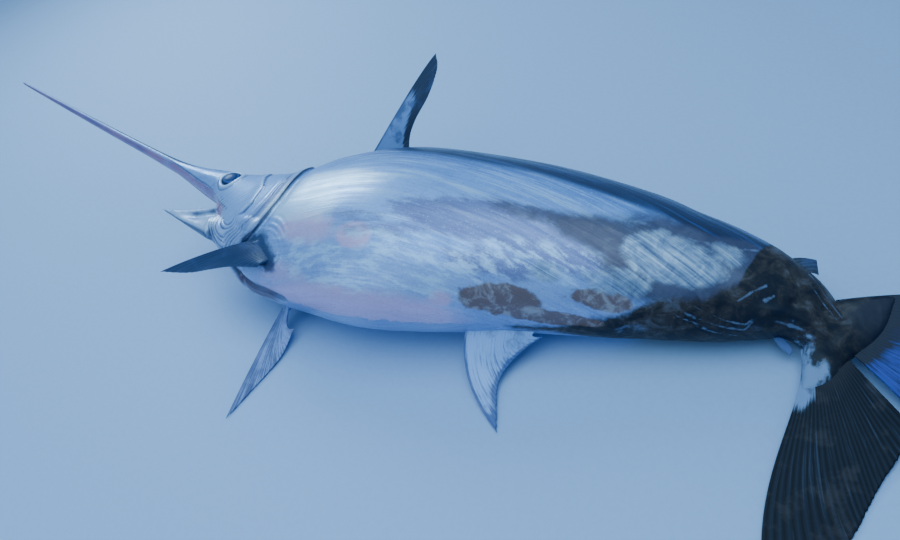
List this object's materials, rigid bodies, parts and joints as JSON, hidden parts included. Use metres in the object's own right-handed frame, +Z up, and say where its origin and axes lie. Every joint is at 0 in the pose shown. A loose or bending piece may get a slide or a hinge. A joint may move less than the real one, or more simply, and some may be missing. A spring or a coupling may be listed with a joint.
{
  "type": "swordfish",
  "caption": "Life-size swordfish lying on its right side, with long flat bill, open jaw, gill covers, sickle fins and a crescent tail.",
  "frame": {"origin": "on the floor, under the middle of the whole fish's box", "axes": "-X towards the tip of the bill, +X towards the tail, +Y towards the back, +Z up from the floor through the left flank"},
  "size_m": [2.4526, 0.7976, 0.3424],
  "materials": {
    "bill": "dull wet skin over bone",
    "head_skin": "wet silvery skin",
    "body_skin": "wet silver-blue skin, dark along the back",
    "fin_skin": "dark wet fin membrane with rays",
    "eye": "glossy dark blue"
  },
  "bodies": {
    "root": {"bill": "bill", "head": "head_skin", "lower_jaw": "head_skin", "throat": "head_skin", "gill_cover_left": "head_skin", "gill_cover_right": "head_skin", "eye_left": "eye", "eye_right": "eye", "trunk_front": "body_skin", "trunk_middle": "body_skin", "trunk_rear": "body_skin", "tail_stalk": "body_skin", "dorsal_fin": "fin_skin", "second_dorsal_fin": "fin_skin", "anal_fin": "fin_skin", "second_anal_fin": "fin_skin", "pectoral_fin_left": "fin_skin", "pectoral_fin_right": "fin_skin", "caudal_lobe_upper": "fin_skin", "caudal_lobe_lower": "fin_skin"}
  },
  "joints": []
}
